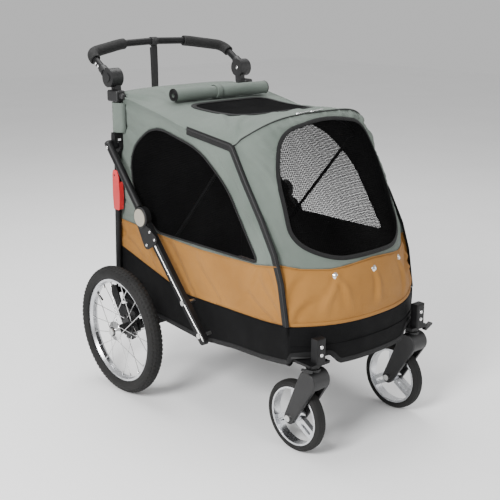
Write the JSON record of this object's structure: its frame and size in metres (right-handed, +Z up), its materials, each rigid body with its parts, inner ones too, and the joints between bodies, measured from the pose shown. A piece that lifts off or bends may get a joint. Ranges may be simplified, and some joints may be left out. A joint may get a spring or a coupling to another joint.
{
  "type": "pet stroller",
  "caption": "Folding pet stroller with spoked rear wheels, swivelling front casters, tilting handle and a zipped fabric cabin with mesh windows.",
  "frame": {"origin": "centre of the stroller's bounding box on the floor", "axes": "+Z up, the stroller faces -Y, +X to the right when it is seen from the front"},
  "size_m": [0.75, 1.0058, 1.0513],
  "materials": {
    "black_cloth": "woven coated polyester, black",
    "black_frame": "satin black powder coat",
    "black_plastic": "fine-grained black moulded plastic",
    "black_tyre": "matt rubber with moulded tread",
    "bow_wire": "black coated spring steel",
    "bright_rim": "satin machined rim",
    "floor_panel": "black covered board",
    "grey_cloth": "woven coated polyester, grey-green",
    "grip_foam": "closed-cell foam",
    "mat_cloth": "padded brown cloth",
    "mesh_cloth": "open black mesh",
    "red_plastic": "red moulded plastic",
    "silver_metal": "satin silver",
    "snap_metal": "polished snap",
    "spoke_wire": "polished wire",
    "webbing": "woven nylon webbing"
  },
  "bodies": {
    "chassis": {"skirt": "black_cloth", "side_wall_left": "grey_cloth", "side_wall_right": "grey_cloth", "side_windows": "mesh_cloth", "rear_wall": "grey_cloth", "roof": "grey_cloth", "roof_window": "mesh_cloth", "roof_flap_roll": "grey_cloth", "canopy_bow": "bow_wire", "floor_board": "floor_panel", "floor_mat": "mat_cloth", "side_rails": "black_frame", "front_cross_tube": "black_frame", "rear_axle": "silver_metal", "axle_tube": "black_frame", "axle_brackets": "black_frame", "caster_bracket_left": "black_frame", "caster_bracket_right": "black_frame", "lower_brace_left": "black_frame", "lower_brace_right": "black_frame", "hub_caps": "silver_metal", "chassis_bolts": "silver_metal"},
    "push_frame": {"upper_bar_left": "black_frame", "upper_bar_right": "black_frame", "uprights": "black_frame", "upright_sleeves": "grey_cloth", "handle_sockets": "black_plastic", "top_cross_tube": "black_frame"},
    "handle": {"handle_bar": "black_frame", "handle_grips": "grip_foam", "handle_hubs": "black_plastic"},
    "strap": {"wrist_strap": "webbing"},
    "front_flap": {"front_flap": "grey_cloth", "front_window": "mesh_cloth", "flap_snaps": "snap_metal"},
    "brake": {"brake_bar": "black_frame"},
    "tilt_button_left": {"tilt_button_left": "black_plastic"},
    "strut_left": {"rear_strut_left": "black_frame"},
    "latch_left": {"latch_lever_left": "red_plastic"},
    "rear_wheel_left": {"rear_tyre_left": "black_tyre", "rear_rim_left": "bright_rim", "rear_spokes_left": "spoke_wire", "rear_hub_left": "black_plastic"},
    "caster_left": {"caster_fork_left": "black_plastic", "front_axle_left": "silver_metal"},
    "front_wheel_left": {"front_tyre_left": "black_tyre", "front_rim_left": "bright_rim"},
    "swivel_lock_left": {"swivel_lock_left": "black_plastic"},
    "tilt_button_right": {"tilt_button_right": "black_plastic"},
    "strut_right": {"rear_strut_right": "black_frame"},
    "latch_right": {"latch_lever_right": "red_plastic"},
    "rear_wheel_right": {"rear_tyre_right": "black_tyre", "rear_rim_right": "bright_rim", "rear_spokes_right": "spoke_wire", "rear_hub_right": "black_plastic"},
    "caster_right": {"caster_fork_right": "black_plastic", "front_axle_right": "silver_metal"},
    "front_wheel_right": {"front_tyre_right": "black_tyre", "front_rim_right": "bright_rim"},
    "swivel_lock_right": {"swivel_lock_right": "black_plastic"}
  },
  "joints": [
    {"name": "frame_fold", "type": "hinge", "parent": "chassis", "child": "push_frame", "pos_m": [0, 0.1665, 0.557], "axis": [1, 0, 0], "range_deg": [0, 125], "deforming": ["skirt", "side_wall_left", "side_wall_right", "side_windows", "rear_wall", "roof", "roof_window", "roof_flap_roll", "canopy_bow", "front_flap", "front_window", "flap_snaps"]},
    {"name": "handle_tilt", "type": "hinge", "parent": "push_frame", "child": "handle", "pos_m": [0, 0.3467, 0.948], "axis": [1, 0, 0], "range_deg": [-50, 40]},
    {"name": "strap_swing", "type": "hinge", "parent": "handle", "child": "strap", "pos_m": [0, 0.48919, 1.03738], "axis": [1, 0, 0], "range_deg": [-60, 70]},
    {"name": "front_flap_open", "type": "hinge", "parent": "chassis", "child": "front_flap", "pos_m": [0, -0.498, 0.366], "axis": [1, 0, 0], "range_deg": [0, 135]},
    {"name": "brake_press", "type": "hinge", "parent": "chassis", "child": "brake", "pos_m": [0, 0.2868, 0.2063], "axis": [-1, 0, 0], "range_deg": [0, 15]},
    {"name": "strut_fold_left", "type": "hinge", "parent": "chassis", "child": "strut_left", "pos_m": [0, 0.3475, 0.285], "axis": [1, 0, 0], "range_deg": [0, 70]},
    {"name": "latch_release_left", "type": "hinge", "parent": "strut_left", "child": "latch_left", "pos_m": [-0.272, 0.3319, 0.655], "axis": [-1, 0, 0], "range_deg": [0, 20], "stiffness_Nm_per_rad": 0.6, "springref_deg": -5.73},
    {"name": "tilt_press_left", "type": "slide", "parent": "handle", "child": "tilt_button_left", "axis": [1, 0, 0], "range_m": [0, 0.003], "stiffness_N_per_m": 400, "springref_m": -0.001},
    {"name": "rear_spin_left", "type": "hinge", "parent": "chassis", "child": "rear_wheel_left", "pos_m": [-0.3383, 0.2295, 0.199], "axis": [1, 0, 0], "continuous": true},
    {"name": "caster_swivel_left", "type": "hinge", "parent": "chassis", "child": "caster_left", "pos_m": [-0.2016, -0.463, 0.2], "axis": [0, 0, 1], "continuous": true},
    {"name": "front_spin_left", "type": "hinge", "parent": "caster_left", "child": "front_wheel_left", "pos_m": [-0.2016, -0.403, 0.1], "axis": [1, 0, 0], "continuous": true},
    {"name": "swivel_lock_turn_left", "type": "hinge", "parent": "chassis", "child": "swivel_lock_left", "pos_m": [-0.2338, -0.483, 0.2605], "axis": [0, -1, 0], "range_deg": [0, 25]},
    {"name": "strut_fold_right", "type": "hinge", "parent": "chassis", "child": "strut_right", "pos_m": [0, 0.3475, 0.285], "axis": [1, 0, 0], "range_deg": [0, 70]},
    {"name": "latch_release_right", "type": "hinge", "parent": "strut_right", "child": "latch_right", "pos_m": [0.272, 0.3319, 0.655], "axis": [-1, 0, 0], "range_deg": [0, 20], "stiffness_Nm_per_rad": 0.6, "springref_deg": -5.73},
    {"name": "tilt_press_right", "type": "slide", "parent": "handle", "child": "tilt_button_right", "axis": [-1, 0, 0], "range_m": [0, 0.003], "stiffness_N_per_m": 400, "springref_m": -0.001},
    {"name": "rear_spin_right", "type": "hinge", "parent": "chassis", "child": "rear_wheel_right", "pos_m": [0.3383, 0.2295, 0.199], "axis": [1, 0, 0], "continuous": true},
    {"name": "caster_swivel_right", "type": "hinge", "parent": "chassis", "child": "caster_right", "pos_m": [0.2016, -0.463, 0.2], "axis": [0, 0, 1], "continuous": true},
    {"name": "front_spin_right", "type": "hinge", "parent": "caster_right", "child": "front_wheel_right", "pos_m": [0.2016, -0.403, 0.1], "axis": [1, 0, 0], "continuous": true},
    {"name": "swivel_lock_turn_right", "type": "hinge", "parent": "chassis", "child": "swivel_lock_right", "pos_m": [0.2338, -0.483, 0.2605], "axis": [0, 1, 0], "range_deg": [0, 25]}
  ],
  "couplings": [
    {"joint": "strap_swing", "follows": "handle_tilt", "ratio": -1},
    {"joint": "strut_fold_left", "follows": "frame_fold", "ratio": 0.56},
    {"joint": "strut_fold_right", "follows": "frame_fold", "ratio": 0.56}
  ]
}
